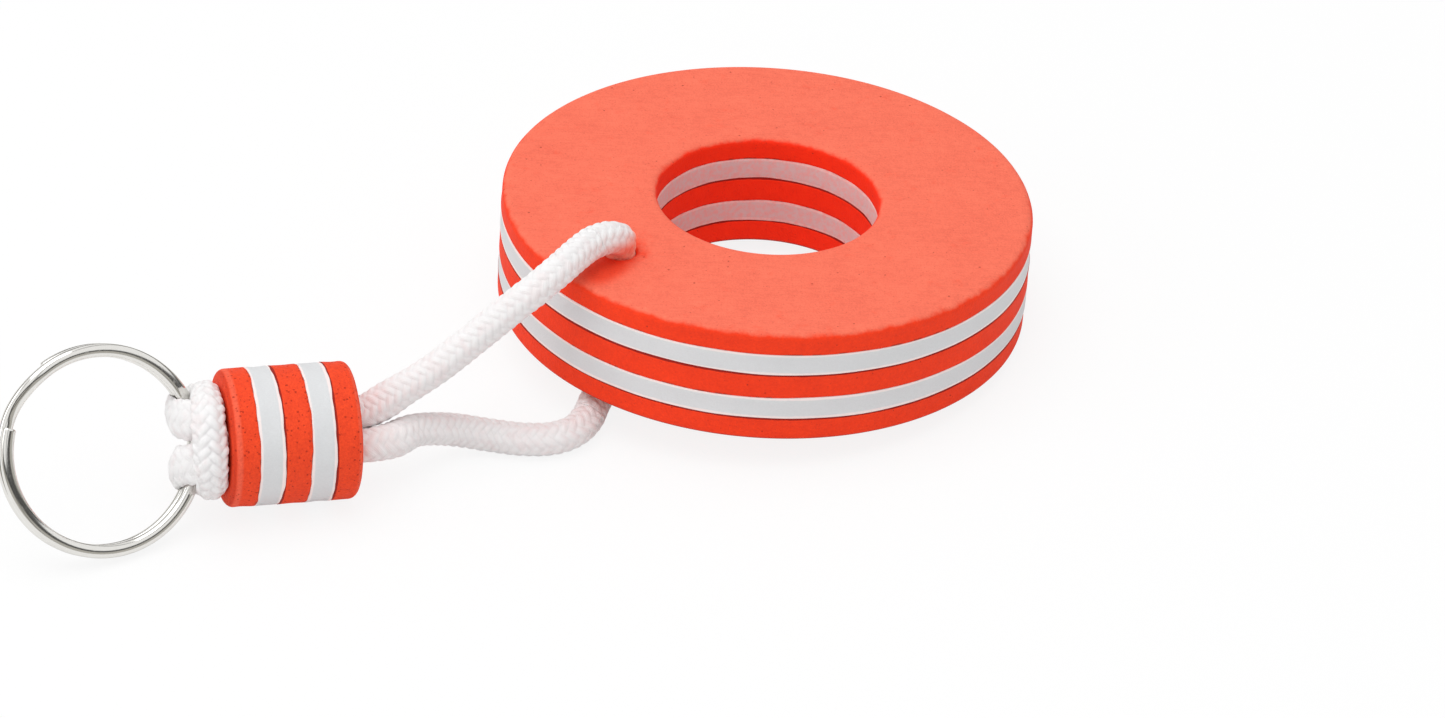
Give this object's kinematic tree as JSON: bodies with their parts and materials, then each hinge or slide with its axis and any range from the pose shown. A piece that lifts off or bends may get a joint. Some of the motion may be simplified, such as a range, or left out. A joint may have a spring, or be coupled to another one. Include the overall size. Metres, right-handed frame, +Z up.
{
  "type": "floating keychain",
  "caption": "Floating keychain: a striped foam ring and a small foam barrel on a loop of braided cord, tied to a split ring with a cow hitch.",
  "frame": {"origin": "on the table, below the middle of the box round the foam ring, the barrel and the split ring, as the keychain lies at rest", "axes": "+Z up from the table, +X from the split ring towards the foam ring, +Y to the far side of the ring"},
  "size_m": [0.1407, 0.0999, 0.0287],
  "materials": {
    "orange_foam": "matte",
    "white_foam": "matte",
    "cord": "matte",
    "wire": "polished"
  },
  "bodies": {
    "float_and_cord": {"ring_bottom_layer": "orange_foam", "ring_lower_white_layer": "white_foam", "ring_middle_layer": "orange_foam", "ring_upper_white_layer": "white_foam", "ring_top_layer": "orange_foam", "barrel_left_end_layer": "orange_foam", "barrel_left_white_layer": "white_foam", "barrel_middle_layer": "orange_foam", "barrel_right_white_layer": "white_foam", "barrel_right_end_layer": "orange_foam", "cord_through_ring": "cord", "cord_upper_leg": "cord", "cord_lower_leg": "cord", "cord_hitch": "cord"},
    "key_ring": {"split_ring": "wire"}
  },
  "joints": [
    {"name": "split_ring_swing", "type": "hinge", "parent": "float_and_cord", "child": "key_ring", "pos_m": [-0.04479, -0.03422, 0.01088], "axis": [-0.0742, 0.5126, 0.8554], "range_deg": [-90, 75], "deforming": ["cord_hitch"]}
  ]
}
